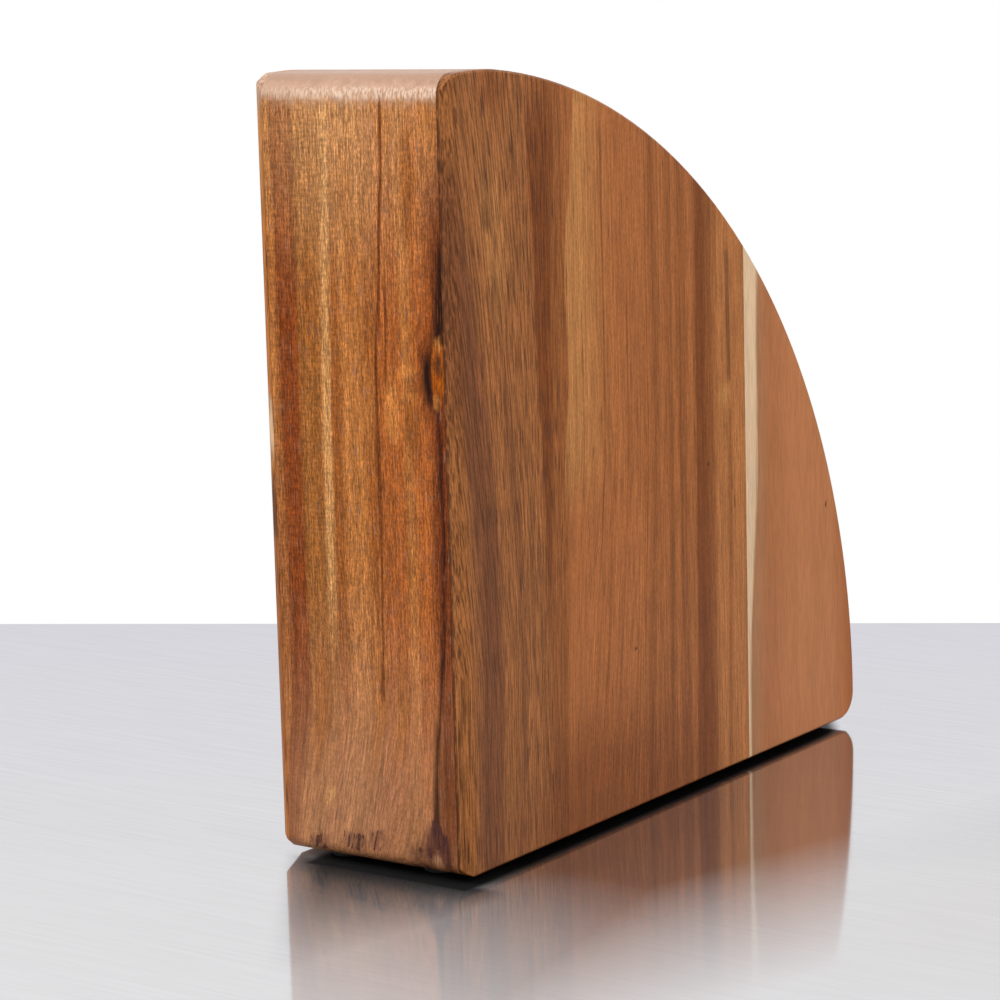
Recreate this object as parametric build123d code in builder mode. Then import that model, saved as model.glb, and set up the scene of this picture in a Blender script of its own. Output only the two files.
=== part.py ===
"""Quarter-round knife block of glued acacia boards, empty, standing on four rubber pads.

Frame: X runs across the width, +Y towards the flat back, +Z up. The origin is on the table, under the
middle of the block's box. Sizes are in millimetres and angles in degrees.
"""

import os
from math import cos, radians, sin, sqrt

from build123d import *

# Side outline: a quarter round whose centre lies a little inside the back and bottom faces
arc_radius = 235
arc_centre_from_back = 3
arc_centre_height = 4.8
bottom_back_radius = 4
toe_radius = 9

# Top of the outline beside the back, which falls to the back in a flat: its length and angle, and the
# rounding at each end of it
top_flat_length = 20
top_flat_angle = 2.3
top_front_radius = 60
top_back_radius = 7

# Width of the block, and the easing along the rim of each side face
block_width = 73
rim_easing = 0.7

# Thin side panels, each glued up from two staves: rounding of the upright edge at the back, rounding of the
# corners at its two ends on the right panel and the angle at which that runs out, and distance of the joint
# from the back
panel_thickness = 4.2
panel_edge_radius = 4.8
panel_corner_radius = 10
panel_corner_taper = 20
left_panel_joint = 164
right_panel_joint = 98

# Boards that close the slots behind and below
back_thickness = 15
base_thickness = 15

# Three slot layers across the width, and the staves of the core boards beside them
slot_width = 5
slot_layer_spacing = 20
core_stave_width = 75
core_joint_stagger = 12

# Blade slots, which run down towards the back: height of each across the blade
slot_angle = 45
utility_slot_height = 26
chef_slot_height = 46
boning_slot_height = 32
santoku_slot_height = 46
bread_slot_height = 36

# Wood between two slots of one layer, and the top of the first slot above the line from the inner corner
slot_wall = 24
outer_slots_top = 88
middle_slots_top = 68

# Rubber pads under the block
pad_radius = 6
pad_height = 2.3
pad_edge_radius = 0.6
pad_half_spacing = 18
rear_pad_from_back = 12
front_pad_from_front = 22

# Places that follow from the sizes above
block_depth = arc_centre_from_back + arc_radius
back_y = block_depth / 2
front_y = back_y - block_depth
bottom_z = pad_height
top_z = bottom_z + arc_centre_height + arc_radius
core_back_y = back_y - back_thickness
core_bottom_z = bottom_z + base_thickness
core_half_width = block_width / 2 - panel_thickness
layer_half_width = slot_width / 2
band_reach = 2 * arc_radius
flat_from_centre = top_flat_length - arc_centre_from_back
flat_front_z = bottom_z + arc_centre_height + sqrt(arc_radius**2 - flat_from_centre**2)


def draw_outline():
    """Draw the side outline in the open sketch, whose x runs to the back and y runs up."""
    with Locations((back_y - arc_centre_from_back, bottom_z + arc_centre_height)):
        Circle(arc_radius)
    keep_window(front_y, back_y, bottom_z, top_z)
    with Locations(Location((back_y - top_flat_length, flat_front_z), -top_flat_angle)):
        Rectangle(2 * band_reach, band_reach, align=(Align.CENTER, Align.MAX), mode=Mode.INTERSECT)
    fillet(vertices().sort_by(Axis.Y)[-1], top_front_radius)
    fillet(vertices().sort_by(lambda corner: corner.X + corner.Y)[-1], top_back_radius)
    fillet(vertices().sort_by(lambda corner: corner.X - corner.Y)[-1], bottom_back_radius)
    fillet(vertices().sort_by(lambda corner: corner.X + corner.Y)[0], toe_radius)


def keep_window(y_from, y_to, z_from, z_to):
    """Keep what lies in a window of the open sketch."""
    with Locations((y_from, z_from)):
        Rectangle(y_to - y_from, z_to - z_from, align=Align.MIN, mode=Mode.INTERSECT)


def keep_band(low, high):
    """Keep a band along the slots, between two distances above the line from the inner corner."""
    middle = (low + high) / 2
    lean = radians(slot_angle)
    with Locations((core_back_y + middle * sin(lean), core_bottom_z + middle * cos(lean))):
        Rectangle(2 * band_reach, high - low, rotation=-slot_angle, mode=Mode.INTERSECT)


def write(piece, name):
    """Label one finished piece and write its file."""
    piece.part.label = name
    export_step(piece.part, f"parts/{name}.step")


def make_board(name, x_from, x_to, y_from, y_to, z_from, z_to):
    """One board: the part of the outline in a window, between two planes across the width."""
    with BuildPart() as board:
        with BuildSketch(Plane.YZ.offset(x_from)):
            draw_outline()
            keep_window(y_from, y_to, z_from, z_to)
        extrude(amount=x_to - x_from)
    write(board, name)


def make_side_panel(side, outward, joint_y):
    """One side panel of two staves, with an eased rim round its outer face and a rounded back edge."""
    for place, y_from, y_to in (("back", joint_y, back_y), ("front", front_y, joint_y)):
        with BuildPart() as stave:
            with BuildSketch(Plane.YZ.offset(outward * core_half_width)):
                draw_outline()
                keep_window(y_from, y_to, bottom_z, top_z)
            extrude(amount=outward * panel_thickness)
            outer_face = stave.faces().sort_by(Axis((0, 0, 0), (outward, 0, 0)))[-1]
            edges_from_joint = outer_face.edges().sort_by(lambda edge: abs(edge.center().Y - joint_y))
            chamfer(edges_from_joint[1:], rim_easing)
            with BuildSketch(Plane.XY):
                Rectangle(block_width, block_depth)
                fillet(vertices().group_by(Axis.Y)[-1], panel_edge_radius)
            extrude(amount=top_z, mode=Mode.INTERSECT)
            with BuildSketch(Plane.XZ.offset(-back_y)):
                with Locations((0, bottom_z)):
                    Rectangle(block_width, top_z - bottom_z, align=(Align.CENTER, Align.MIN))
                fillet(vertices().group_by(Axis.X)[-1], panel_corner_radius)
            extrude(amount=block_depth, taper=-panel_corner_taper, mode=Mode.INTERSECT)
        write(stave, f"{side}_panel_{place}_stave")


def make_core_board(name, x_from, x_to, stagger):
    """One upright core board of three staves, with its joints shifted by the stagger."""
    joints = [core_back_y - core_stave_width * count - stagger for count in (1, 2)]
    edges = [core_back_y, *joints, front_y]
    for place, y_to, y_from in zip(("back", "middle", "front"), edges, edges[1:]):
        make_board(f"{name}_{place}_stave", x_from, x_to, y_from, y_to, core_bottom_z, top_z)


def make_spacers(layer, x_middle, slots_top, slot_heights, places):
    """The wood above, between and below the slots of one layer, from the top down."""
    edges = [band_reach, slots_top]
    for slot_height in slot_heights:
        slot_bottom = edges[-1] - slot_height
        edges += [slot_bottom, slot_bottom - slot_wall]
    edges[-1] = -band_reach
    for place, high, low in zip(places, edges[0::2], edges[1::2]):
        with BuildPart() as spacer:
            with BuildSketch(Plane.YZ.offset(x_middle - layer_half_width)):
                draw_outline()
                keep_window(front_y, core_back_y, core_bottom_z, top_z)
                keep_band(low, high)
            extrude(amount=slot_width)
        write(spacer, f"{layer}_spacer_{place}")


os.makedirs("parts", exist_ok=True)

# Side panels, which show
make_side_panel("left", -1, back_y - left_panel_joint)
make_side_panel("right", 1, back_y - right_panel_joint)

# Back and base boards between the panels
make_board("back_board", -core_half_width, core_half_width, core_back_y, back_y, bottom_z, top_z)
make_board("base_board", -core_half_width, core_half_width, front_y, core_back_y, bottom_z, core_bottom_z)

# Core boards, from the left panel to the right one
outer_layer_edge = slot_layer_spacing + layer_half_width
inner_layer_edge = slot_layer_spacing - layer_half_width
make_core_board("left_outer_board", -core_half_width, -outer_layer_edge, core_joint_stagger)
make_core_board("left_inner_board", -inner_layer_edge, -layer_half_width, -core_joint_stagger)
make_core_board("right_inner_board", layer_half_width, inner_layer_edge, core_joint_stagger)
make_core_board("right_outer_board", outer_layer_edge, core_half_width, -core_joint_stagger)

# Spacers of the three slot layers
outer_heights = (utility_slot_height, chef_slot_height, boning_slot_height)
middle_heights = (santoku_slot_height, bread_slot_height)
outer_places = ("top", "upper", "lower", "bottom")
middle_places = ("top", "centre", "bottom")
make_spacers("left", -slot_layer_spacing, outer_slots_top, outer_heights, outer_places)
make_spacers("middle", 0, middle_slots_top, middle_heights, middle_places)
make_spacers("right", slot_layer_spacing, outer_slots_top, outer_heights, outer_places)

# Rubber pads, two at the back and two at the front, with a rounded lower edge
rear_pad_y = back_y - rear_pad_from_back
front_pad_y = front_y + front_pad_from_front
pad_places = [(x, y) for x in (-pad_half_spacing, pad_half_spacing) for y in (rear_pad_y, front_pad_y)]
with BuildPart() as pads:
    with BuildSketch(Plane.XY):
        with Locations(*pad_places):
            Circle(pad_radius)
    extrude(amount=pad_height)
    fillet(pads.edges().group_by(Axis.Z)[0], pad_edge_radius)
write(pads, "rubber_pads")
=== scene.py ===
"""An empty quarter-round knife block of oiled acacia, standing on a steel table in soft studio light.

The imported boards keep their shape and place, and get their wood here: zones of colour across each board,
fibres, pores, and single features such as a knot or a dark streak. Lengths on the wood are in millimetres, and
heights on it are measured from its bottom face. Places and lengths on the stage are in metres.
"""

import bmesh
import bpy
from bpy.props import FloatProperty, FloatVectorProperty, PointerProperty
from mathutils import Matrix, Vector


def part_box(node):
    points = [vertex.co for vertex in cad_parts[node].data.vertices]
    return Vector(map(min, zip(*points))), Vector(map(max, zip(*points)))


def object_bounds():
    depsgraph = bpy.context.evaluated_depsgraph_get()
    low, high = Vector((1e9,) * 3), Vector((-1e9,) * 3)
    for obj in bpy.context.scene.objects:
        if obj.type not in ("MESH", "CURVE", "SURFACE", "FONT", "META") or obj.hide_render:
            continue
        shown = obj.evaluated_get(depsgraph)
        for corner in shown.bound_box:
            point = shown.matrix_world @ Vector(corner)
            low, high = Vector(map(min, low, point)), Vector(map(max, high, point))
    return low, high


bl_info = {
    "name": "Acacia knife block",
    "version": (1, 0, 0),
    "blender": (4, 5, 0),
    "location": "View3D > Sidebar > Knife block",
    "description": "Oiled acacia for the boards of a quarter-round knife block, and its studio stage",
    "category": "Object",
}

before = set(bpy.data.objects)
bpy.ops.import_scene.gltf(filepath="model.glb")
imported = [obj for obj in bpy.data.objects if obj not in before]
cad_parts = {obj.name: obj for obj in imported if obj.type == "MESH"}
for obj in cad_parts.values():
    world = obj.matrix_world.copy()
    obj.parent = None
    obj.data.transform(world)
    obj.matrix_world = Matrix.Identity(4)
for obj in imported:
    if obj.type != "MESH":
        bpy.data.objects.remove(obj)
cad_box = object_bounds()

MM = 1000
back_y = cad_box[1].y * MM
wood_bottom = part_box("back_board")[0].z * MM
wood_height = cad_box[1].z * MM - wood_bottom
SMOOTH = {"interpolation_type": "SMOOTHSTEP"}

# Levels that nearly all of a noise lies between, levels that most of it lies between, and how far apart in the
# log boards of different seeds are cut
NOISE_LOW, NOISE_HIGH = 0.2, 0.8
MOST_LOW, MOST_HIGH = 0.3, 0.7
LOG_STEP = (37.0, 61.0, 250.0)


def linear(hex_colour):
    """An sRGB hex colour as linear red, green and blue."""
    shares = [int(hex_colour[start:start + 2], 16) / 255 for start in (1, 3, 5)]
    return [share / 12.92 if share <= 0.04045 else ((share + 0.055) / 1.055) ** 2.4 for share in shares]


def tone(name, hex_colour, description):
    """A colour that a user can change."""
    return FloatVectorProperty(
        name=name, description=description, default=linear(hex_colour), subtype="COLOR", min=0, max=1)


class WoodTones(bpy.types.PropertyGroup):
    """Tones of the oiled acacia"""
    orange_tan: tone("Orange tan", "#ab6a34", "Strip beside the back edge")
    red_brown: tone("Red-brown", "#7f3c12", "Red band of the back board")
    olive_gold: tone("Olive gold", "#965b27", "Rippled golden figure of the back board")
    # Also painted sheen: the silky streak and the top of the back board
    pale_gold_and_sheen: tone("Pale gold", "#cf965b", "Silky streaks that catch the light")
    flame: tone("Flame", "#c67d3c", "Bright flames beside the knot")
    umber: tone("Umber", "#945422", "Brown strips of the back board")
    gold_tan: tone("Gold tan", "#ad6c35", "Middle of the back board")
    orange: tone("Orange", "#a15825", "Warm strips of the back board")
    rust: tone("Rust", "#773712", "Orange-red edge of the back board")
    foot: tone("Foot", "#b98460", "Paler wood at the foot of the back board")
    knot_heart: tone("Knot heart", "#a0500c", "Orange heart of the knot")
    purple: tone("Purple-brown", "#52302a", "Small knots, the dark wedge at the foot and the shade on top")
    near_black: tone("Near black", "#1d0803", "Rim of the knot and the darkest streaks")
    grey_tan: tone("Grey-tan", "#935b31", "Open-pored wood at the back of the side panel")
    plum: tone("Plum brown", "#6b3e25", "Slanting dark band of the side panel")
    dark_red: tone("Dark red", "#6b3512", "Dark red streaks and lines")
    brown: tone("Brown", "#8d5329", "Brown heartwood")
    strip_gold: tone("Golden strip", "#b37944", "Golden strip of the side panel")
    body: tone("Body", "#a36234", "Straight-grained body of the side panel")
    olive: tone("Olive brown", "#8a5129", "Dark bands of the side panel")
    gold: tone("Gold", "#a96b3b", "Golden wood beside the glue joint")
    sapwood: tone("Sapwood", "#d9b894", "Cream edge of sapwood")
    sapwood_edge: tone("Sapwood edge", "#a37450", "Grey-brown border of the sapwood")
    salmon: tone("Salmon", "#ab6c42", "Smooth heartwood of the front stave")
    peach: tone("Peach", "#b7764a", "Lighter heartwood of the front stave")
    # Painted glints: pale dashes on bright fibres and along the back board's top edge
    painted_glint: tone("Silk", "#ecd0ba", "Fibres and torn end grain that catch the light")
    # Painted sheen on the back board's top and the far panel's back corner, and a paler top on the core
    pale_top_and_sheen: tone("Sanded", "#bb9a84", "Pale sanded end grain on top")
    pore: tone("Pore", "#4a2a1a", "Open pores and glue lines")


class WoodFinish(bpy.types.PropertyGroup):
    """Sizes of the grain and gloss of the oil"""
    # Real fibres and pores are finer than a pixel of the render, so they are drawn wide enough to show
    fibre_width: FloatProperty(
        name="Fibre width", description="Width of the fine fibres in millimetres", default=0.42, min=0.2, max=4)
    pore_length: FloatProperty(
        name="Pore length", description="Length of the open pores in millimetres", default=11, min=1, max=40)
    roughness: FloatProperty(
        name="Roughness", description="Roughness of the oiled face", default=0.36, min=0.05, max=1,
        subtype="FACTOR")
    sheen: FloatProperty(
        name="Sheen", description="Strength of the oil's gloss", default=0.11, min=0, max=1, subtype="FACTOR")
    easing: FloatProperty(
        name="Easing", description="Rounding that sanding gives the edges, in millimetres", default=0.6,
        min=0, max=5)
    relief: FloatProperty(
        name="Relief", description="Depth of the open pores in millimetres", default=0.06, min=0, max=0.5)


class StageSettings(bpy.types.PropertyGroup):
    """Table, light and camera"""
    table: tone("Table", "#dedee0", "Colour of the steel table")
    # Painted shade: the table is drawn darker towards its far edge
    table_far: tone("Far table", "#d7d6dd", "Colour of the table at its far edge")
    table_roughness: FloatProperty(
        name="Table roughness", description="Blur of the reflection in the table", default=0.07, min=0, max=1,
        subtype="FACTOR")
    haze: FloatProperty(
        name="Haze", description="Level of the table's dull part", default=0.78, min=0, max=1, subtype="FACTOR")
    polish: FloatProperty(
        name="Polish", description="Share of mirror image in the table under the block", default=0.96,
        min=0, max=1, subtype="FACTOR")
    key_power: FloatProperty(
        name="Key light", description="Power of the softbox behind the block", default=15.2, min=0, unit="POWER")
    side_power: FloatProperty(
        name="Side light", description="Power of the softbox beside the block", default=13.1, min=0, unit="POWER")
    top_power: FloatProperty(
        name="Top light", description="Power of the softbox over the block", default=5, min=0, unit="POWER")
    fill: FloatProperty(
        name="Fill", description="Light from all round, as a share of white", default=0.45, min=0, max=1,
        subtype="FACTOR")


class KnifeBlockSettings(bpy.types.PropertyGroup):
    """Everything that a user would change"""
    tones: PointerProperty(type=WoodTones)
    finish: PointerProperty(type=WoodFinish)
    stage: PointerProperty(type=StageSettings)


def add(tree, kind, settings=None, sockets=None, output=0):
    """Add a node with its settings and its values or links, and give back one of its outputs.

    Sockets go by name or number. Map Range has the value as 0, its range as 1 and 2 and the new range as 3
    and 4. Mix has the share as 0 and the two colours as 6 and 7.
    """
    node = tree.nodes.new("ShaderNode" + kind)
    for name, value in (settings or {}).items():
        setattr(node, name, value)
    for name, value in (sockets or {}).items():
        if isinstance(value, bpy.types.NodeSocket):
            tree.links.new(value, node.inputs[name])
        else:
            node.inputs[name].default_value = value
    return node.outputs[output] if node.outputs else None


class Board:
    """The oiled acacia of one board: where a point lies on it, and the colour that its features build up."""

    def __init__(self, name, scale, offset, across, seed):
        """The scale and the offset turn a place into millimetres on the board, and its zones run across along
        axis 0 or 1."""
        self.material = bpy.data.materials.new(name)
        self.material.use_nodes = True
        self.tree = self.material.node_tree
        self.tree.nodes.clear()
        corner = add(self.tree, "TexCoord", output="Object")
        place = add(self.tree, "VectorMath", {"operation": "MULTIPLY_ADD"}, {0: corner, 1: scale, 2: offset})
        places = add(self.tree, "SeparateXYZ", None, {0: place}).node.outputs
        self.across = places[across]
        self.through = places[1 - across]
        self.height = places[2]
        self.seed = seed
        self.grain = None
        self.ragged = None
        self.swirl = None
        self.colour = None
        self.pits = None

    def lean(self, slope, level, low, high, window):
        """Lean the grain between two heights. It stays in place at the level. The window gives where across
        the board the lean starts, is full, starts to fall and ends."""
        rise = add(self.tree, "Math", {"operation": "MAXIMUM"}, {0: self.height, 1: low})
        rise = add(self.tree, "Math", {"operation": "MINIMUM"}, {0: rise, 1: high})
        rise = add(self.tree, "Math", {"operation": "SUBTRACT"}, {0: rise, 1: level})
        share = add(self.tree, "MapRange", None, {0: self.across, 1: window[2], 2: window[3], 3: slope, 4: 0.0})
        start = add(self.tree, "MapRange", None, {0: self.across, 1: window[0], 2: window[1]})
        share = add(self.tree, "Math", {"operation": "MULTIPLY"}, {0: share, 1: start})
        self.across = add(self.tree, "Math", {"operation": "MULTIPLY_ADD"}, {0: rise, 1: share, 2: self.across})

    def lay_grain(self):
        """Set the place in the log that fibres and pores are read at, a ragged distance across and a ragged
        height."""
        swirl_reach = 2.0
        spot = add(self.tree, "CombineXYZ", None, {0: self.through, 1: self.across, 2: self.height})
        log = tuple(step * self.seed for step in LOG_STEP)
        self.grain = add(self.tree, "VectorMath", {"operation": "ADD"}, {0: spot, 1: log})
        self.ragged = self.shifted(reach=0.7, width=1.6, length=28)
        drift = add(self.tree, "MapRange", None, {
            0: self.fibre(3, 4), 1: NOISE_LOW, 2: NOISE_HIGH, 3: -swirl_reach, 4: swirl_reach})
        self.swirl = add(self.tree, "Math", {"operation": "ADD"}, {0: self.height, 1: drift})

    def fibre(self, width, length, detail=2.0):
        """Noise drawn out along the grain, about 0 to 1."""
        spot = add(self.tree, "VectorMath", {"operation": "DIVIDE"}, {0: self.grain, 1: (width, width, length)})
        return add(self.tree, "TexNoise", None, {
            "Vector": spot, "Scale": 1.0, "Detail": detail, "Roughness": 0.6})

    def shifted(self, reach, width, length):
        """The distance across, with a drift along the grain of up to about the reach."""
        drift = self.fibre(width, length)
        drift = add(self.tree, "MapRange", None, {0: drift, 1: NOISE_LOW, 2: NOISE_HIGH, 3: -reach, 4: reach})
        return add(self.tree, "Math", {"operation": "ADD"}, {0: self.across, 1: drift})

    def zones(self, stops, wander):
        """Lay the grain, and zones of colour across the board: each stop is a distance across and a tone. The
        zones wander along the grain."""
        self.lay_grain()
        low, high = stops[0][0], stops[-1][0]
        share = add(self.tree, "MapRange", None, {
            0: self.shifted(wander, width=6, length=120), 1: low, 2: high})
        ramp = add(self.tree, "ValToRGB", None, {0: share})
        elements = ramp.node.color_ramp.elements
        elements[0].color = (*stops[0][1], 1)
        elements[1].color = (*stops[-1][1], 1)
        for across, colour in stops[1:-1]:
            elements.new((across - low) / (high - low)).color = (*colour, 1)
        self.colour = ramp

    def stain(self, colour, mask, strength=1.0):
        """Lay a tone over the wood where the mask is."""
        if strength != 1.0:
            mask = add(self.tree, "Math", {"operation": "MULTIPLY"}, {0: mask, 1: strength})
        self.colour = add(self.tree, "Mix", {"data_type": "RGBA"}, {0: mask, 6: self.colour, 7: (*colour, 1)}, 2)

    def between(self, low, high, fade):
        """1 between two heights, fading to 0 outside them."""
        foot = add(self.tree, "MapRange", SMOOTH, {0: self.height, 1: low - fade, 2: low})
        head = add(self.tree, "MapRange", SMOOTH, {0: self.height, 1: high + fade, 2: high})
        return add(self.tree, "Math", {"operation": "MULTIPLY"}, {0: foot, 1: head})

    def line(self, path):
        """The distance across of a line through (height, distance across) points."""
        path = sorted(path)
        low = min(across for height, across in path) - 1
        high = max(across for height, across in path) + 1
        share = add(self.tree, "MapRange", None, {0: self.height, 1: 0.0, 2: wood_height})
        curve = add(self.tree, "FloatCurve", None, {1: share}).node
        points = curve.mapping.curves[0].points
        spots = [(height / wood_height, (across - low) / (high - low)) for height, across in path]
        points[0].location, points[1].location = spots[0], spots[-1]
        for spot in spots[1:-1]:
            points.new(*spot)
        curve.mapping.extend = "HORIZONTAL"
        curve.mapping.update()
        return add(self.tree, "MapRange", None, {0: curve.outputs[0], 3: low, 4: high})

    def beyond(self, border, soft):
        """0 before a border along a path and 1 beyond it."""
        gap = add(self.tree, "Math", {"operation": "SUBTRACT"}, {0: self.ragged, 1: self.line(border)})
        return add(self.tree, "MapRange", SMOOTH, {0: gap, 1: -soft, 2: soft})

    def band(self, colour, start, end, soft, strength=1.0, reach=None):
        """A band along the grain between two borders. Soft is the blur of the first and second border, and the
        reach is its lowest and highest place and the fade there."""
        far = self.beyond(end, soft[1])
        near = self.beyond(start, soft[0])
        mask = add(self.tree, "Math", {"operation": "SUBTRACT", "use_clamp": True}, {0: near, 1: far})
        if reach:
            mask = add(self.tree, "Math", {"operation": "MULTIPLY"}, {0: mask, 1: self.between(*reach)})
        self.stain(colour, mask, strength)

    def streak(self, colour, path, half_width, strength, reach, core=0.3):
        """A streak along a path, full on its core and gone at the half width."""
        gap = add(self.tree, "Math", {"operation": "SUBTRACT"}, {0: self.ragged, 1: self.line(path)})
        gap = add(self.tree, "Math", {"operation": "ABSOLUTE"}, {0: gap})
        mask = add(self.tree, "MapRange", SMOOTH, {0: gap, 1: half_width, 2: core * half_width})
        mask = add(self.tree, "Math", {"operation": "MULTIPLY"}, {0: mask, 1: self.between(*reach)})
        self.stain(colour, mask, strength)

    def oval(self, centre, size, core):
        """1 on the core of an oval round a (distance across, height) point, fading to 0 at its rim."""
        spot = add(self.tree, "CombineXYZ", None, {0: self.ragged, 1: self.swirl})
        spot = add(self.tree, "VectorMath", {"operation": "SUBTRACT"}, {0: spot, 1: (*centre, 0)})
        spot = add(self.tree, "VectorMath", {"operation": "DIVIDE"}, {0: spot, 1: (*size, 1)})
        ring = add(self.tree, "VectorMath", {"operation": "LENGTH"}, {0: spot}, "Value")
        return add(self.tree, "MapRange", SMOOTH, {0: ring, 1: 1.0, 2: core})

    def patch(self, colour, centre, size, strength=1.0, core=0.25):
        """A soft oval patch of a tone."""
        self.stain(colour, self.oval(centre, size, core), strength)

    def tint_top(self, colour, low, high, strength):
        """A tone that grows towards the top: a paler top on core boards, painted sheen and shade on the back
        board.
        """
        self.stain(colour, add(self.tree, "MapRange", SMOOTH, {0: self.swirl, 1: low, 2: high}), strength)

    def shade(self, noise, reach, soft=0.16):
        """Darken and lighten the wood by a noise. The reach may vary, and a small softness makes it crisp."""
        level = add(self.tree, "MapRange", None, {0: noise, 1: 0.5 - soft, 2: 0.5 + soft, 3: -1.0, 4: 1.0})
        level = add(self.tree, "Math", {"operation": "MULTIPLY_ADD"}, {0: level, 1: reach, 2: 1.0})
        self.colour = add(self.tree, "VectorMath", {"operation": "SCALE"}, {0: self.colour, "Scale": level})

    def pores(self, colour, width, length, amount, strength):
        """Short open pores along the grain. The amount is 0 for none and 1 for many, and may vary."""
        level_of_none, level_of_many, soft = 0.9, 0.52, 0.07
        grit = self.fibre(width, length, 0.5)
        start = add(self.tree, "MapRange", None, {0: amount, 3: level_of_none, 4: level_of_many})
        mask = add(self.tree, "Math", {"operation": "SUBTRACT"}, {0: grit, 1: start})
        self.pits = add(self.tree, "MapRange", SMOOTH, {0: mask, 1: 0.0, 2: soft})
        self.stain(colour, self.pits, strength)

    def plain_grain(self, tones, finish):
        """Fibres and pores of a board with plain figure."""
        self.shade(self.fibre(0.8, 60), 0.1)
        self.shade(self.fibre(1.5 * finish.fibre_width, 7, 1), 0.2, 0.13)
        self.pores(tones.pore, 0.62, finish.pore_length, amount=0.73, strength=0.8)

    def glue_line(self, colour, place, width):
        """A dark glue line where the board meets the one beside it, at a distance through the board."""
        gap = add(self.tree, "Math", {"operation": "ABSOLUTE"}, {0: self.through})
        mask = add(self.tree, "MapRange", SMOOTH, {0: gap, 1: place + width, 2: place + 0.5 * width})
        faint, strong = 0.2, 0.8
        flecks = add(self.tree, "MapRange", None, {0: self.fibre(1.5, 6), 1: 0.4, 2: 0.5, 3: faint, 4: strong})
        self.stain(colour, add(self.tree, "Math", {"operation": "MULTIPLY"}, {0: mask, 1: flecks}))

    def oil(self, finish):
        """Close the wood with a satin oil, a little duller in the pores and along the fibres."""
        smoother, duller = -0.05, 0.06
        rough = add(self.tree, "MapRange", None, {
            0: self.fibre(1.2, 40), 1: MOST_LOW, 2: MOST_HIGH,
            3: finish.roughness + smoother, 4: finish.roughness + duller})
        level = add(self.tree, "Math", {"operation": "SUBTRACT"}, {0: self.fibre(0.5, 5), 1: self.pits})
        edge = add(self.tree, "Bevel", None, {"Radius": finish.easing / MM})
        bump = add(self.tree, "Bump", None, {
            "Strength": 0.5, "Distance": finish.relief / MM, "Height": level, "Normal": edge})
        shader = add(self.tree, "BsdfPrincipled", None, {
            "Base Color": self.colour, "Roughness": rough, "IOR": 1.5, "Specular IOR Level": finish.sheen,
            "Normal": bump})
        add(self.tree, "OutputMaterial", None, {0: shader})


def dress(material, *nodes):
    """Give packed boards their wood."""
    for node in nodes:
        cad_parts[node].material_slots[0].material = material


def side_board(name, seed):
    """A board of a side panel, whose zones run from the back to the front."""
    return Board(name, (MM, -MM, MM), (0, back_y, -wood_bottom), 1, seed)


def cross_board(name, seed):
    """A board whose zones run across the width of the block."""
    return Board(name, (MM, MM, MM), (0, 0, -wood_bottom), 0, seed)


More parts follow.
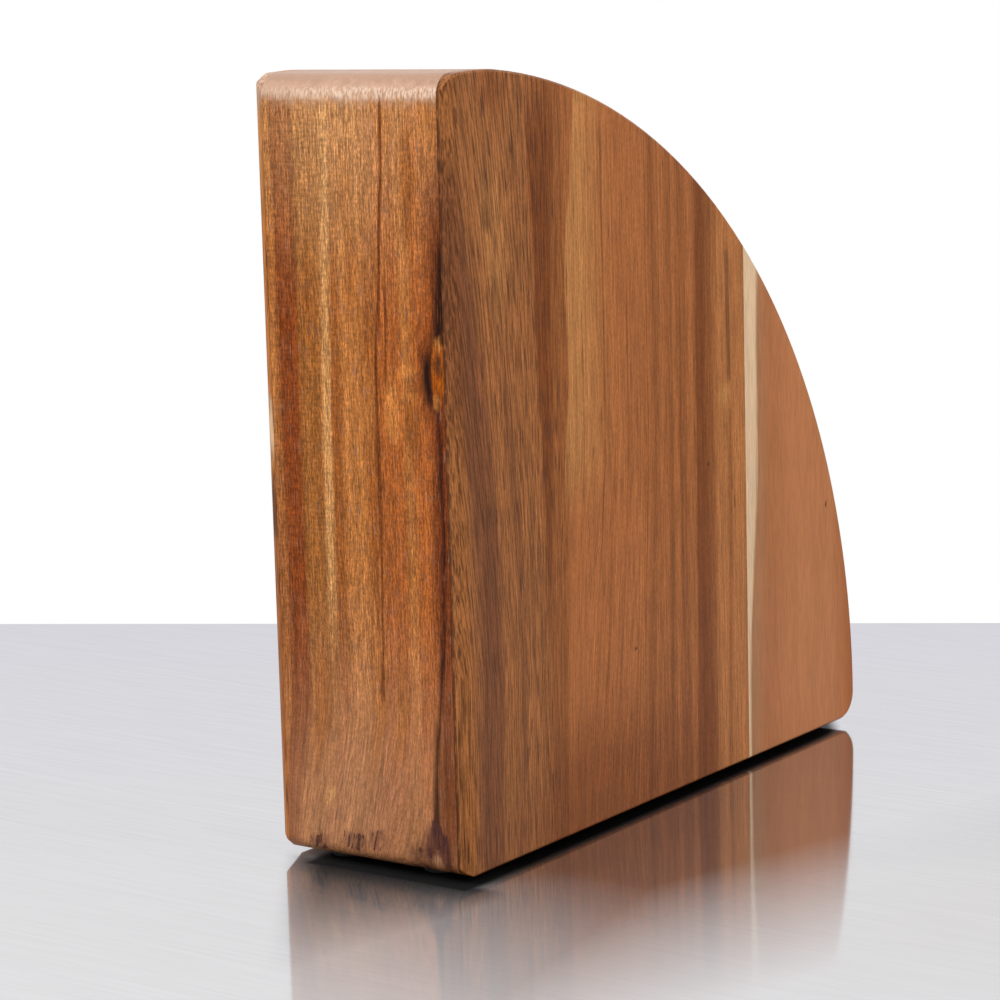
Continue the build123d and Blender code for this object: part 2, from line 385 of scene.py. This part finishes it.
class KNIFEBLOCK_OT_side_panels(bpy.types.Operator):
    """Oil the two staves of each side panel"""
    bl_idname = "knife_block.side_panels"
    bl_label = "Side panels"

    def execute(self, context):
        settings = context.scene.knife_block
        self.left_back_stave(settings.tones, settings.finish)
        self.left_front_stave(settings.tones, settings.finish)
        self.right_staves(settings.tones, settings.finish)
        return {"FINISHED"}

    def left_back_stave(self, tones, finish):
        """Acacia heartwood, planed and oiled: open pores near the back, straight fine grain further on."""
        wood = side_board("acacia_left_back_stave", 1)
        wood.lean(slope=0.128, level=95, low=60, high=240, window=(-9, -8, 0, 50))
        wood.lean(slope=-0.115, level=120, low=0, high=120, window=(46, 66, 70, 125))
        wood.zones([
            (-8, tones.grey_tan), (40, tones.grey_tan), (48, tones.brown), (57, tones.brown), (62, tones.body),
            (104, tones.body), (107, tones.olive), (112, tones.body), (118, tones.olive), (121, tones.body),
            (123, tones.olive), (126, tones.olive), (129, tones.body), (134, tones.olive), (143, tones.olive),
            (147, tones.gold), (164, tones.gold)], wander=1)

        # Slanting plum band at the back, with a fainter streak and a dark spot in front of it
        wood.band(tones.plum, [(217, 9), (164, 7), (95, 8.5), (60, 5), (15, 3)],
                  [(225, 14), (200, 17), (164, 18.5), (95, 20), (60, 17), (15, 16)], soft=(4, 3.5), strength=0.8)
        wood.streak(tones.plum, [(170, 25), (130, 28), (85, 30.5), (50, 29.3), (10, 25)], half_width=3,
                    strength=0.4, reach=(0, 125, 30))
        wood.patch(tones.dark_red, (32, 233), (7, 11), 0.45)

        # Dark red band and the golden strip that it borders
        wood.band(tones.dark_red, [(235, 42.5), (180, 43), (140, 43.5), (110, 44.5), (75, 44.5)],
                  [(235, 53), (180, 50.5), (140, 49.5), (110, 48.5), (75, 46)], soft=(0.8, 2.5), strength=0.75,
                  reach=(85, 215, 25))
        wood.band(tones.strip_gold,
                  [(231, 64.7), (200, 61), (176, 57.9), (151, 59.1), (119, 56.3), (80, 55), (63, 54)],
                  [(231, 75), (0, 75)], soft=(0.5, 12), strength=0.85, reach=(125, 240, 30))

        # Thin dark lines in the body, and dark bands beside the glue joint
        for place, low, high in ((66.5, 90, 150), (78, 90, 215), (84, 10, 120), (91.5, 40, 160), (103, 60, 225)):
            wood.streak(tones.dark_red, [(0, place), (240, place + 1)], half_width=0.7, strength=0.45,
                        reach=(low, high, 12))
        wood.band(tones.dark_red, [(190, 133.5), (60, 132), (0, 130)], [(190, 139), (60, 140.5), (0, 142)],
                  soft=(1.2, 2), strength=0.6)
        wood.band(tones.pore, [(178, 152), (130, 152.5)], [(178, 154.5), (130, 155)], soft=(0.6, 0.8),
                  strength=0.5, reach=(134, 172, 5))
        wood.streak(tones.olive, [(120, 154.5), (0, 152)], half_width=2, strength=0.6, reach=(0, 118, 6))

        # Lighter and darker places, and three tiny knots
        for tint, centre, size, strength in (
                (tones.strip_gold, (151, 127), (6, 5), 0.8), (tones.dark_red, (84, 4), (74, 46), 0.62),
                (tones.strip_gold, (28, 190), (7, 34), 0.45), (tones.pore, (140, 105), (0.9, 2), 0.9),
                (tones.pore, (156.7, 91), (0.6, 4), 0.8), (tones.pore, (98.5, 52), (0.7, 1), 0.9)):
            wood.patch(tint, centre, size, strength)

        # Fibres all over, and pores that are more open near the back
        open_grain = add(wood.tree, "MapRange", SMOOTH, {0: wood.across, 1: 66.0, 2: 44.0})
        coarse = add(wood.tree, "MapRange", None, {0: open_grain, 3: 0.18, 4: 0.32})
        many = add(wood.tree, "MapRange", None, {0: open_grain, 3: 0.55, 4: 0.85})
        for width, length, reach in ((5, 45, 0.05), (1.6, 110, 0.07), (0.8, 60, 0.1)):
            wood.shade(wood.fibre(width, length), reach)
        wood.shade(wood.fibre(finish.fibre_width, 12, 1), coarse, 0.13)
        wood.shade(wood.fibre(1.4 * finish.fibre_width, 1.5, 0), 0.09, 0.13)
        wood.pores(tones.pore, 0.48, finish.pore_length, many, strength=0.66)
        wood.glue_line(tones.pore, place=32.3, width=1.0)
        wood.oil(finish)
        dress(wood.material, "left_panel_back_stave")

    def left_front_stave(self, tones, finish):
        """The same wood with an edge of sapwood, and smooth heartwood beside it."""
        wood = side_board("acacia_left_front_stave", 2)
        joint = [(0, 160), (240, 160)]
        wood.zones([
            (160, tones.salmon), (180, tones.salmon), (200, tones.peach), (222, tones.peach),
            (240, tones.orange)], wander=1)
        wood.band(tones.sapwood_edge, joint, [(230, 175), (90, 176), (60, 174), (0, 172)], soft=(1, 5),
                  strength=0.8)
        wood.band(tones.sapwood, joint,
                  [(230, 172.5), (140, 172), (95, 171), (80, 170), (60, 168), (50, 167), (40, 166.2), (30, 165.8),
                   (0, 165.5)], soft=(1, 1))
        wood.patch(tones.near_black, (218.7, 79.6), (1.0, 2.2), 0.8)
        wood.shade(wood.fibre(7, 60), 0.05)
        wood.shade(wood.fibre(1.5 * finish.fibre_width, 8), 0.1)
        wood.pores(tones.brown, 0.75, finish.pore_length, amount=0.42, strength=0.5)
        wood.oil(finish)
        dress(wood.material, "left_panel_front_stave")

    def right_staves(self, tones, finish):
        """The far panel, whose rounded back edge shows as a tan strip."""
        for place, seed in (("back", 3), ("front", 4)):
            wood = side_board(f"acacia_right_{place}_stave", seed)
            wood.zones([
                (-2, tones.orange_tan), (8, tones.orange_tan), (30, tones.strip_gold), (55, tones.body),
                (80, tones.olive), (95, tones.brown), (110, tones.body), (140, tones.gold), (165, tones.body),
                (200, tones.salmon), (238, tones.body)], wander=1)
            # The pale patch at the top of the back edge is painted sheen, as on the back board's top
            for tint, centre, size, strength in (
                    (tones.brown, (0, 60), (14, 62), 0.8), (tones.strip_gold, (0, 225), (12, 34), 0.75),
                    (tones.pale_top_and_sheen, (0, 240), (16, 16), 0.9), (tones.sapwood, (0.5, 132), (6, 13), 0.7),
                    (tones.pore, (0.5, 106), (6, 14), 0.8)):
                wood.patch(tint, centre, size, strength)
            wood.shade(wood.fibre(1.6, 110), 0.08)
            wood.plain_grain(tones, finish)
            wood.oil(finish)
            dress(wood.material, f"right_panel_{place}_stave")


class KNIFEBLOCK_OT_back_board(bpy.types.Operator):
    """Oil the back board with its knot and dark streaks"""
    bl_idname = "knife_block.back_board"
    bl_label = "Back board"

    def execute(self, context):
        settings = context.scene.knife_block
        tones, finish = settings.tones, settings.finish

        # Acacia with silky, rippled figure, planed and oiled: bands of gold, orange and red-brown whose shimmer is
        # painted
        wood = cross_board("acacia_back_board", 5)
        wood.lean(slope=0.2, level=45, low=0, high=45, window=(-22, -8, 26, 40))
        self.colour_bands(wood, tones)
        # Painted glints: pale dashes on the brightest fibres
        wood.pores(tones.painted_glint, 0.5, 6, amount=0.66, strength=0.32)
        self.dark_lines(wood, tones)
        self.knot(wood, tones)
        self.foot(wood, tones)
        self.figure(wood, tones, finish)
        self.top_edge(wood, tones)
        wood.oil(finish)
        dress(wood.material, "back_board")
        return {"FINISHED"}

    def colour_bands(self, wood, tones):
        """Strips of colour, paler towards the foot, with painted sheen at the top and lighter and darker places.
        """
        wood.zones([
            (-33, tones.rust), (-29, tones.rust), (-25.5, tones.orange), (-22, tones.orange),
            (-18.5, tones.gold_tan), (-16, tones.orange), (-9, tones.orange), (-7, tones.umber),
            (-4, tones.umber), (-1, tones.gold_tan), (4, tones.gold_tan), (7, tones.umber), (9.5, tones.umber),
            (11, tones.olive_gold), (14, tones.olive_gold), (20.5, tones.olive_gold), (22.5, tones.red_brown),
            (28.5, tones.red_brown), (30.5, tones.orange_tan), (33, tones.orange_tan)], wander=0.7)
        # Painted sheen: a silky pale streak along the grain
        wood.streak(tones.pale_gold_and_sheen, [(231, 9), (187, 10), (141, 11.4), (84, 12), (20, 12)], half_width=2.6,
                    strength=0.74, reach=(95, 235, 40))
        # Paler towards the foot, and painted sheen at the top
        for level, length, tint, strength in (
                (0, 100, tones.foot, 0.66), (240, 84, tones.pale_gold_and_sheen, 0.46), (240, 84, tones.pale_top_and_sheen, 0.1)):
            wood.patch(tint, (0, level), (60, length), strength, core=0.1)
        for tint, centre, size, strength in (
                (tones.brown, (33, 88), (7, 66), 0.85), (tones.umber, (1, 178), (4, 24), 0.6),
                (tones.umber, (33, 177), (5, 24), 0.6), (tones.gold_tan, (-5, 55), (4, 36), 0.6),
                (tones.umber, (17, 172), (4, 22), 0.6), (tones.umber, (8, 172), (3, 20), 0.5),
                (tones.gold_tan, (-4, 140), (4, 22), 0.6), (tones.umber, (-21, 206), (4.5, 30), 0.8),
                (tones.umber, (-20, 136), (4, 15), 0.95), (tones.dark_red, (-29.5, 25), (5, 34), 0.7),
                (tones.umber, (2, 206), (3.5, 16), 0.35), (tones.umber, (17, 46), (4.5, 26), 0.55),
                (tones.umber, (32, 20), (4, 26), 0.6), (tones.gold_tan, (-13, 48), (3.5, 22), 0.6),
                (tones.dark_red, (-27.6, 86), (3.4, 36), 0.45), (tones.flame, (-29, 228), (5, 24), 0.45),
                (tones.flame, (-13, 226), (4, 18), 0.4),
                (tones.flame, (-13, 140), (4, 15), 0.75), (tones.flame, (-19, 152), (6, 4), 0.5),
                (tones.flame, (-20, 144), (5, 2.5), 0.35)):
            wood.patch(tint, centre, size, strength)

    def dark_lines(self, wood, tones):
        """Two thin dark lines along the grain."""
        for path, low, high in (
                ([(231, -12), (195, -10.6), (167, -8.7), (155, -7.6), (119, -7.4), (85, -7.3), (56, -6)], 56, 231),
                ([(170, -11.5), (156, -11.2)], 154, 172)):
            wood.streak(tones.dark_red, path, half_width=0.8, strength=0.9, reach=(low, high, 12))

    def knot(self, wood, tones):
        """A knot at the seam: red wood round it, a dark streak above, an orange heart with a dark rim, and a
        dark streak that runs down from it."""
        wood.patch(tones.red_brown, (-27, 155), (6, 22), 0.8)
        wood.patch(tones.dark_red, (-26.8, 149), (5, 17), 0.75)
        wood.streak(tones.dark_red, [(200, -33), (176, -32), (160, -31)], half_width=7, strength=0.85,
                    reach=(158, 190, 16), core=0)
        wood.streak(tones.near_black, [(200, -33.2), (176, -32.2), (162, -30.6)], half_width=3.4, strength=0.95,
                    reach=(160, 184, 16), core=0.15)
        wood.patch(tones.knot_heart, (-30.4, 153), (4.4, 10), core=0.6)
        wood.patch(tones.flame, (-30.4, 160.5), (2.2, 4), 0.65)
        wood.patch(tones.pore, (-30.4, 155), (2.6, 6), 0.8, core=0.1)
        wood.streak(tones.dark_red, [(164, -28.6), (158, -26.2), (152, -25.4), (146, -26), (141, -28)],
                    half_width=3.4, strength=0.85, reach=(148, 157, 9), core=0.1)
        wood.streak(tones.near_black, [(164, -28.6), (158, -26.9), (152, -26.2), (146, -26.6), (141, -28.4)],
                    half_width=1.9, strength=0.97, reach=(147, 153, 9), core=0.3)
        wood.patch(tones.flame, (-29.6, 143.5), (1.8, 4), 0.7)
        wood.band(
            tones.near_black,
            [(145, -30.2), (123.5, -30.8), (105.6, -31.3), (84.6, -30.8), (57.1, -28.8), (35.4, -26.6),
             (15, -26)],
            [(145, -29.4), (123.5, -29.4), (105.6, -29.9), (84.6, -29.4), (57.1, -27.2), (35.4, -24.8),
             (15, -23.5)],
            soft=(0.8, 1.2), strength=0.85, reach=(14, 140, 8))

    def foot(self, wood, tones):
        """Small flecked knots and a dark wedge at the foot, with two pale places."""
        for centre, size, strength in (
                ((-24.6, 9), (5, 9), 0.85), ((-21, 4.5), (3.5, 6), 0.6), ((-28.4, 6), (2.5, 9), 0.6),
                ((-1.2, 5.5), (6.5, 4.5), 0.4), ((-9.7, 7.5), (4, 4), 0.4), ((11.6, 4), (5, 4), 0.3)):
            wood.patch(tones.purple, centre, size, strength, core=0.4)
            wood.pores(tones.purple, 1.1, 5, wood.oval(centre, size, core=0.6), strength=0.85)
        wood.patch(tones.foot, (-25, 3.5), (2.6, 4), 0.75)
        wood.patch(tones.pale_gold_and_sheen, (10.4, 19), (3, 5), 0.6)

    def figure(self, wood, tones, finish):
        """A ripple across the grain that is stronger higher up, fibres that are calmer at the foot, and pores."""
        ripple = add(wood.tree, "MapRange", SMOOTH, {0: wood.height, 1: 50.0, 2: 110.0, 3: 0.04, 4: 0.09})
        spread = add(wood.tree, "MapRange", None, {0: wood.across, 1: -5.0, 2: 18.0, 3: 0.7, 4: 1.5})
        ripple = add(wood.tree, "Math", {"operation": "MULTIPLY"}, {0: ripple, 1: spread})
        calm = add(wood.tree, "MapRange", SMOOTH, {0: wood.height, 1: 30.0, 2: 80.0, 3: 0.16, 4: 0.3})
        wood.shade(wood.fibre(4, 16), 0.08)
        wood.shade(wood.fibre(1.2, 70), 0.12)
        wood.shade(wood.fibre(4, 0.7, 0.5), ripple)
        wood.shade(wood.fibre(0.6, 16), 0.14)
        wood.shade(wood.fibre(finish.fibre_width, 5, 1), calm, 0.13)
        wood.shade(wood.fibre(finish.fibre_width, 1.2, 1), calm, 0.16)
        wood.pores(tones.dark_red, 0.5, 6, amount=0.69, strength=0.65)

    def top_edge(self, wood, tones):
        """Painted sheen on top: a pale band, painted glints where it turns down to the back, painted shade above.
        """
        # Painted sheen: a pale band on the rounded top
        wood.tint_top(tones.pale_top_and_sheen, low=228, high=235, strength=0.85)
        # Painted glints in a line where the top turns down to the back
        glint_specks = add(wood.tree, "MapRange", None, {0: wood.fibre(0.6, 2.4), 1: 0.4, 2: 0.62})
        glint_specks = add(wood.tree, "Math", {"operation": "MULTIPLY"}, {0: glint_specks, 1: wood.between(232.4, 233.6, 2.2)})
        bright = add(wood.tree, "MapRange", None, {0: wood.across, 1: 30.0, 2: 5.0, 3: 0.35, 4: 0.75})
        wood.stain(tones.painted_glint, add(wood.tree, "Math", {"operation": "MULTIPLY"}, {0: glint_specks, 1: bright}))
        # Painted shade higher up on top
        wood.tint_top(tones.purple, low=234.5, high=237.5, strength=0.22)


class KNIFEBLOCK_OT_core_boards(bpy.types.Operator):
    """Oil the staves of the core boards and the base board"""
    bl_idname = "knife_block.core_boards"
    bl_label = "Core and base boards"

    def execute(self, context):
        settings = context.scene.knife_block
        tones, finish = settings.tones, settings.finish
        boards = ("left_outer_board", "left_inner_board", "right_inner_board", "right_outer_board")

        # Acacia staves from three planks, planed and oiled: light and dark stripes, paler towards the top
        planks = ((tones.body, tones.plum), (tones.strip_gold, tones.brown), (tones.salmon, tones.dark_red))
        woods = []
        for count, (light, dark) in enumerate(planks):
            wood = cross_board(f"acacia_core_{count + 1}", 6 + count)
            wood.zones([
                (-33, light), (-28, dark), (-26, light), (-17, light), (-13, dark), (-10, light), (-4, dark),
                (3, light), (8, light), (11, dark), (14, light), (23, dark), (27, light), (33, dark)], wander=2)
            wood.plain_grain(tones, finish)
            wood.tint_top(tones.pale_top_and_sheen, low=190, high=240, strength=0.55)
            wood.oil(finish)
            woods.append(wood.material)
        for shift, board in enumerate(boards):
            for step, place in enumerate(("back", "middle", "front")):
                dress(woods[(shift + step) % len(woods)], f"{board}_{place}_stave")
        dress(woods[1], "base_board")
        return {"FINISHED"}


class KNIFEBLOCK_OT_spacers(bpy.types.Operator):
    """Oil the spacers between the blade slots"""
    bl_idname = "knife_block.spacers"
    bl_label = "Spacers"

    def execute(self, context):
        settings = context.scene.knife_block
        tones, finish = settings.tones, settings.finish

        # Acacia of an even brown, planed and oiled, paler towards the top
        wood = cross_board("acacia_spacers", 11)
        wood.zones([(-33, tones.brown), (-12, tones.body), (10, tones.olive), (33, tones.brown)], wander=6)
        wood.plain_grain(tones, finish)
        wood.tint_top(tones.pale_top_and_sheen, low=190, high=240, strength=0.55)
        wood.oil(finish)
        dress(wood.material, *(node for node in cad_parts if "_spacer_" in node))
        return {"FINISHED"}


class KNIFEBLOCK_OT_rubber_pads(bpy.types.Operator):
    """Finish the rubber pads"""
    bl_idname = "knife_block.rubber_pads"
    bl_label = "Rubber pads"

    def execute(self, context):
        # Moulded black rubber: dark and matt, with a fine even grit
        grit_size, grit_depth = 0.5, 0.05
        material = bpy.data.materials.new("moulded_black_rubber")
        material.use_nodes = True
        tree = material.node_tree
        tree.nodes.clear()
        corner = add(tree, "TexCoord", output="Object")
        grit = add(tree, "TexNoise", None, {"Vector": corner, "Scale": MM / grit_size, "Detail": 2.0})
        smoothest, roughest = 0.6, 0.8
        rough = add(tree, "MapRange", None, {0: grit, 1: MOST_LOW, 2: MOST_HIGH, 3: smoothest, 4: roughest})
        bump = add(tree, "Bump", None, {"Strength": 0.3, "Distance": grit_depth / MM, "Height": grit})
        shader = add(tree, "BsdfPrincipled", None, {
            "Base Color": (*linear("#1d1c1c"), 1), "Roughness": rough, "Normal": bump})
        add(tree, "OutputMaterial", None, {0: shader})
        dress(material, "rubber_pads")
        return {"FINISHED"}


class KNIFEBLOCK_OT_stage(bpy.types.Operator):
    """Set up the table, the light and the camera"""
    bl_idname = "knife_block.stage"
    bl_label = "Stage"

    def execute(self, context):
        stage = context.scene.knife_block.stage
        self.lay_table(context.scene, stage)
        self.light(context.scene, stage)
        self.place_camera(context.scene)
        context.scene.view_settings.view_transform = "Standard"
        return {"FINISHED"}

    def lay_table(self, scene, stage):
        """A wide table whose far edge runs behind the block, square to the camera."""
        half_length = width = 4
        far_middle, along = Vector((0.1725, -0.195, 0)), Vector((0.88035, 0.47433, 0))
        near = Vector((-along.y, along.x, 0))
        far_left, far_right = far_middle - half_length * along, far_middle + half_length * along
        mesh = bmesh.new()
        corners = [far_left, far_right, far_right + width * near, far_left + width * near]
        mesh.faces.new([mesh.verts.new(corner) for corner in corners])
        data = bpy.data.meshes.new("table")
        mesh.to_mesh(data)
        mesh.free()
        table = bpy.data.objects.new("table", data)
        scene.collection.objects.link(table)
        data.materials.append(self.brushed_steel(stage, along, near))

    def brushed_steel(self, stage, along, near):
        """Brushed stainless steel, polished under the block and dull further off: a pale grey sheet with a sharp
        mirror image that fades out, and faint brush lines. Real brush lines are finer than a pixel of the
        render, so they are drawn wide enough to show."""
        line_length, line_spacing, line_contrast = 50, 1.5, 0.03
        material = bpy.data.materials.new("brushed_stainless_steel")
        material.use_nodes = True
        tree = material.node_tree
        tree.nodes.clear()
        corner = add(tree, "TexCoord", output="Object")
        spot = add(tree, "SeparateXYZ", None, {0: corner}).node.outputs
        lines = add(tree, "Mapping", None, {
            "Vector": corner, "Rotation": (0, 0, -along.angle(Vector((1, 0, 0)))),
            "Scale": (MM / line_length, MM / line_spacing, 1)})
        brush = add(tree, "TexNoise", None, {"Vector": lines, "Scale": 1.0, "Detail": 3.0})
        brush = add(tree, "MapRange", None, {
            0: brush, 1: MOST_LOW, 2: MOST_HIGH, 3: 1 - line_contrast, 4: 1 + line_contrast})

        # Where the polish ends and where it is full, beside the block on a slant and behind it
        slant, beside_end, beside_full, behind_end, behind_full = -0.27, -0.203, -0.107, 0.3, 0.09
        away = add(tree, "Math", {"operation": "MULTIPLY_ADD"}, {0: spot[1], 1: slant, 2: spot[0]})
        beside = add(tree, "MapRange", None, {0: away, 1: beside_end, 2: beside_full, 3: 0.0, 4: stage.polish})
        behind = add(tree, "MapRange", None, {0: spot[1], 1: behind_end, 2: behind_full, 3: 0.0, 4: stage.polish})
        polish = add(tree, "Math", {"operation": "MINIMUM"}, {0: beside, 1: behind})

        # Painted shade: the table is greyer and bluer towards its far edge, changing over this stretch from far to
        # near
        grey_far, grey_near = -0.25, 0.1
        depth = add(tree, "VectorMath", {"operation": "DOT_PRODUCT"}, {0: corner, 1: near}, "Value")
        shade = add(tree, "MapRange", None, {0: depth, 1: grey_far, 2: grey_near})
        grey = add(tree, "Mix", {"data_type": "RGBA"}, {
            0: shade, 6: (*stage.table_far, 1), 7: (*stage.table, 1)}, 2)
        grey = add(tree, "VectorMath", {"operation": "SCALE"}, {0: grey, "Scale": brush})
        shadow = self.contact_shadow(tree, corner, spot)
        image = add(tree, "VectorMath", {"operation": "SCALE"}, {0: grey, "Scale": shadow})
        mirror = add(tree, "BsdfGlossy", None, {"Color": image, "Roughness": stage.table_roughness})
        haze = add(tree, "VectorMath", {"operation": "SCALE"}, {0: image, "Scale": stage.haze})
        dull = add(tree, "BsdfDiffuse", None, {"Color": haze})
        shader = add(tree, "MixShader", None, {0: polish, 1: dull, 2: mirror})
        add(tree, "OutputMaterial", None, {0: shader})
        return material

    def contact_shadow(self, tree, corner, spot):
        """Level of the table in the contact shadow: dark under the block, and a soft dark strip that runs out
        behind the back board. It is 1 in the light."""
        darkest = 0.11

        # Where the dark under the block ends and where it is full, across, along and on a slant
        inside = 1.0
        slanting = (-0.819, -0.573, 0)
        aside = add(tree, "VectorMath", {"operation": "DOT_PRODUCT"}, {0: corner, 1: slanting}, "Value")
        for place, light, full in ((spot[0], -0.0405, -0.037), (spot[0], 0.027, 0.021),
                                   (aside, 0.093, 0.087), (spot[1], 0.128, 0.122)):
            share = add(tree, "MapRange", SMOOTH, {0: place, 1: light, 2: full})
            inside = add(tree, "Math", {"operation": "MULTIPLY"}, {0: share, 1: inside})

        # The strip slants away from the back board, and runs out further towards one end of it
        slant, growth, middle_reach, least_reach, run_out = 0.72, 0.92, 0.049, 0.001, 1.25
        gap = add(tree, "Math", {"operation": "SUBTRACT"}, {0: spot[1], 1: cad_box[1].y})
        along = add(tree, "Math", {"operation": "MULTIPLY_ADD"}, {0: gap, 1: slant, 2: spot[0]})
        reach = add(tree, "Math", {"operation": "MULTIPLY_ADD"}, {0: along, 1: growth, 2: middle_reach})
        reach = add(tree, "Math", {"operation": "MAXIMUM"}, {0: reach, 1: least_reach})
        share = add(tree, "Math", {"operation": "DIVIDE"}, {0: gap, 1: reach})
        dark = add(tree, "MapRange", None, {0: share, 1: run_out, 2: 0.0})
        for place, light, full in ((along, 0.036, 0.018), (along, -0.052, -0.036), (gap, -0.004, 0.002)):
            end = add(tree, "MapRange", SMOOTH, {0: place, 1: light, 2: full})
            dark = add(tree, "Math", {"operation": "MULTIPLY"}, {0: dark, 1: end})
        dark = add(tree, "Math", {"operation": "MAXIMUM"}, {0: dark, 1: inside})
        return add(tree, "MapRange", None, {0: dark, 3: 1.0, 4: darkest})

    def light(self, scene, stage):
        """White all round for the eye and for reflections, a fill for the wood, and three softboxes."""
        world = bpy.data.worlds.new("studio")
        world.use_nodes = True
        scene.world = world
        tree = world.node_tree
        tree.nodes.clear()
        ray = add(tree, "LightPath").node.outputs
        way = add(tree, "TexCoord", output="Generated")
        rise = add(tree, "SeparateXYZ", None, {0: way}).node.outputs[2]

        # Reflections see a darker world below the horizon
        below, level_below = -0.06, 0.25
        sky = add(tree, "MapRange", SMOOTH, {0: rise, 1: below, 2: 0.0, 3: level_below, 4: 1.0})
        strength = add(tree, "MapRange", None, {0: ray["Is Glossy Ray"], 3: stage.fill, 4: sky})
        seen = add(tree, "Math", {"operation": "MAXIMUM"}, {
            0: ray["Is Camera Ray"], 1: ray["Is Transmission Ray"]})
        strength = add(tree, "MapRange", None, {0: seen, 3: strength, 4: 1.0})
        shine = add(tree, "Background", None, {0: (1, 1, 1, 1), 1: strength})
        add(tree, "OutputWorld", None, {0: shine})

        # Each softbox has a direction, a distance and a width. It stays out of the table's mirror image
        middle = Vector((0, 0, 0.12))
        boxes = (("key_softbox", (0.45, 0.66, 0.60), 1.6, 0.7, stage.key_power),
                 ("side_softbox", (-0.85, 0.10, 0.50), 1.6, 0.9, stage.side_power),
                 ("top_softbox", (0.10, 0.30, 0.95), 1.4, 0.8, stage.top_power))
        for name, direction, distance, width, power in boxes:
            lamp = bpy.data.lights.new(name, "AREA")
            lamp.energy = power
            lamp.size = width
            holder = bpy.data.objects.new(name, lamp)
            direction = Vector(direction).normalized()
            turn = direction.to_track_quat("Z", "Y").to_matrix().to_4x4()
            holder.matrix_world = Matrix.Translation(middle + distance * direction) @ turn
            holder.visible_glossy = False
            scene.collection.objects.link(holder)

    def place_camera(self, scene):
        """A long lens looking down a little on the back and one side."""
        camera = bpy.data.objects.new("camera", bpy.data.cameras.new("camera"))
        camera.data.lens = 111.8
        camera.data.sensor_width = 36
        place = Vector((-0.5626, 0.8424, 0.2704))
        right, up = Vector((-0.81883, -0.57345, -0.02597)), Vector((0.07601, -0.15316, 0.98527))
        turn = Matrix((right, up, right.cross(up))).transposed().to_4x4()
        camera.matrix_world = Matrix.Translation(place) @ turn
        scene.collection.objects.link(camera)
        scene.camera = camera


steps = (
    KNIFEBLOCK_OT_side_panels, KNIFEBLOCK_OT_back_board, KNIFEBLOCK_OT_core_boards, KNIFEBLOCK_OT_spacers,
    KNIFEBLOCK_OT_rubber_pads, KNIFEBLOCK_OT_stage)


class KNIFEBLOCK_PT_sidebar(bpy.types.Panel):
    """The block's boards and stage, and what can be changed"""
    bl_idname = "KNIFEBLOCK_PT_sidebar"
    bl_label = "Knife block"
    bl_space_type = "VIEW_3D"
    bl_region_type = "UI"
    bl_category = "Knife block"

    def draw(self, context):
        settings = context.scene.knife_block
        for step in steps:
            self.layout.operator(step.bl_idname)
        for group in (settings.tones, settings.finish, settings.stage):
            for name in group.__annotations__:
                self.layout.prop(group, name)


groups = (WoodTones, WoodFinish, StageSettings, KnifeBlockSettings)
classes = (*groups, *steps, KNIFEBLOCK_PT_sidebar)


def register():
    for each in classes:
        bpy.utils.register_class(each)
    bpy.types.Scene.knife_block = PointerProperty(type=KnifeBlockSettings)


def unregister():
    del bpy.types.Scene.knife_block
    for each in reversed(classes):
        bpy.utils.unregister_class(each)


def main():
    register()
    bpy.ops.knife_block.side_panels()
    bpy.ops.knife_block.back_board()
    bpy.ops.knife_block.core_boards()
    bpy.ops.knife_block.spacers()
    bpy.ops.knife_block.rubber_pads()
    bpy.ops.knife_block.stage()


if __name__ == "__main__":
    main()
